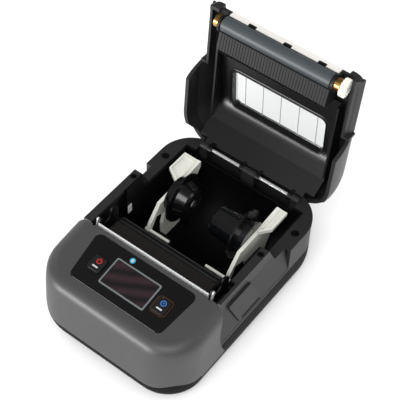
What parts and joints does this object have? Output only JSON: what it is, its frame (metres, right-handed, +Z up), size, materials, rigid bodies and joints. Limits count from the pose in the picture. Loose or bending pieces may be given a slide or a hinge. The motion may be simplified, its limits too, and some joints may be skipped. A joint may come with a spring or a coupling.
{
  "type": "portable label printer",
  "caption": "Portable thermal label printer with its cover swung open, showing the roll bay with coupled holders, print head, platen roller and control panel.",
  "frame": {"origin": "bottom centre of the box around the whole printer as modelled, with its cover standing open, on the plane that its feet stand on", "axes": "+X to the right of the control panel, +Y from the control panel to the cover's hinge, +Z up; the cover stands open"},
  "size_m": [0.1174, 0.1892, 0.1456],
  "materials": {
    "base_black": "moulded dark grey, fine texture",
    "frame_black": "moulded black, satin",
    "shell_grey": "moulded graphite grey, fine spark texture",
    "cover_outer_grey": "moulded graphite grey, fine spark texture",
    "cover_black": "black, semi-gloss",
    "bay_black": "black, satin",
    "panel_grey": "graphite grey label panel, satin",
    "bezel_black": "black gloss",
    "display_dark": "dark display window",
    "button_grey": "grey silicone keys",
    "keypad_grey": "silicone mat",
    "board_green": "printed board",
    "steel": "bright stamped steel",
    "rod_steel": "polished steel rod",
    "head_black": "black anodised",
    "ceramic": "glazed ceramic",
    "motor_steel": "plated can",
    "gear_black": "acetal gear",
    "gear_white": "natural acetal gear",
    "brass": "turned bushing",
    "roller_rubber": "ground rubber",
    "window_clear": "clear window",
    "arm_white": "off-white moulded",
    "hub_black": "black, semi-gloss",
    "foot_rubber": "rubber pad",
    "pack_black": "battery case",
    "release_grey": "moulded graphite grey"
  },
  "bodies": {
    "base": {"base_tray": "base_black", "battery_door": "base_black", "battery_pack": "pack_black", "foot_front_left": "foot_rubber", "foot_front_right": "foot_rubber", "foot_rear_left": "foot_rubber", "foot_rear_right": "foot_rubber", "mid_frame": "frame_black", "front_shell": "shell_grey", "control_panel": "panel_grey", "display_bezel": "bezel_black", "display_glass": "display_dark", "keypad": "keypad_grey", "main_board": "board_green", "tear_bar": "steel", "head_block": "head_black", "head_ceramic": "ceramic", "head_cover": "head_black", "head_bracket": "steel", "motor": "motor_steel", "idler_axle": "rod_steel", "label_bay": "bay_black", "hinge_rod": "rod_steel"},
    "cover": {"cover_shell": "cover_outer_grey", "window": "window_clear", "cover_liner": "cover_black", "platen_holder": "cover_black", "cover_edge": "steel", "bushing_left": "brass", "bushing_right": "brass"},
    "platen": {"platen_roller": "roller_rubber", "platen_shaft": "rod_steel", "platen_gear": "gear_white"},
    "holder_left": {"roll_holder_left": "arm_white"},
    "holder_right": {"roll_holder_right": "arm_white"},
    "left_hub": {"hub_left": "hub_black"},
    "right_hub": {"hub_right": "hub_black"},
    "rack_pinion": {"holder_pinion": "arm_white"},
    "release": {"release_button": "release_grey"},
    "latch": {"latch_bar": "rod_steel"},
    "power_key": {"power_button": "button_grey"},
    "feed_key": {"feed_button": "button_grey"},
    "motor_gear": {"motor_pinion": "gear_black"},
    "idler": {"idler_gear": "gear_black"}
  },
  "joints": [
    {"name": "cover_hinge", "type": "hinge", "parent": "base", "child": "cover", "pos_m": [0, 0.0607, 0.045], "axis": [1, 0, 0], "range_deg": [0, 93]},
    {"name": "platen_spin", "type": "hinge", "parent": "cover", "child": "platen", "pos_m": [0, 0.07868, 0.13969], "axis": [1, 0, 0], "continuous": true},
    {"name": "holder_left_slide", "type": "slide", "parent": "base", "child": "holder_left", "axis": [1, 0, 0], "range_m": [0, 0.009]},
    {"name": "holder_right_slide", "type": "slide", "parent": "base", "child": "holder_right", "axis": [-1, 0, 0], "range_m": [0, 0.009]},
    {"name": "rack_pinion_turn", "type": "hinge", "parent": "base", "child": "rack_pinion", "pos_m": [0, 0.0197, 0.004], "axis": [0, 0, 1], "range_deg": [0, 57.35]},
    {"name": "hub_left_spin", "type": "hinge", "parent": "holder_left", "child": "left_hub", "pos_m": [-0.025, 0.0197, 0.0395], "axis": [1, 0, 0], "continuous": true},
    {"name": "hub_right_spin", "type": "hinge", "parent": "holder_right", "child": "right_hub", "pos_m": [0.025, 0.0197, 0.0395], "axis": [1, 0, 0], "continuous": true},
    {"name": "release_slide", "type": "slide", "parent": "base", "child": "release", "axis": [-1, 0, 0], "range_m": [0, 0.002], "stiffness_N_per_m": 400},
    {"name": "latch_turn", "type": "hinge", "parent": "base", "child": "latch", "pos_m": [0, -0.0453, 0.04], "axis": [1, 0, 0], "range_deg": [0, 5.21], "stiffness_Nm_per_rad": 0.05},
    {"name": "power_press", "type": "slide", "parent": "base", "child": "power_key", "axis": [0, 0.1537, -0.9881], "range_m": [0, 0.0007], "stiffness_N_per_m": 900},
    {"name": "feed_press", "type": "slide", "parent": "base", "child": "feed_key", "axis": [0, 0.1537, -0.9881], "range_m": [0, 0.0007], "stiffness_N_per_m": 900},
    {"name": "motor_spin", "type": "hinge", "parent": "base", "child": "motor_gear", "pos_m": [0.048, -0.0288, 0.02953], "axis": [1, 0, 0], "continuous": true},
    {"name": "idler_spin", "type": "hinge", "parent": "base", "child": "idler", "pos_m": [0.048, -0.0373, 0.04078], "axis": [1, 0, 0], "continuous": true}
  ],
  "couplings": [
    {"joint": "holder_right_slide", "follows": "holder_left_slide", "ratio": 1},
    {"joint": "rack_pinion_turn", "follows": "holder_left_slide", "rad_per_m": 111.11},
    {"joint": "latch_turn", "follows": "release_slide", "rad_per_m": 45},
    {"joint": "motor_spin", "follows": "idler_spin", "ratio": -2.9167}
  ]
}
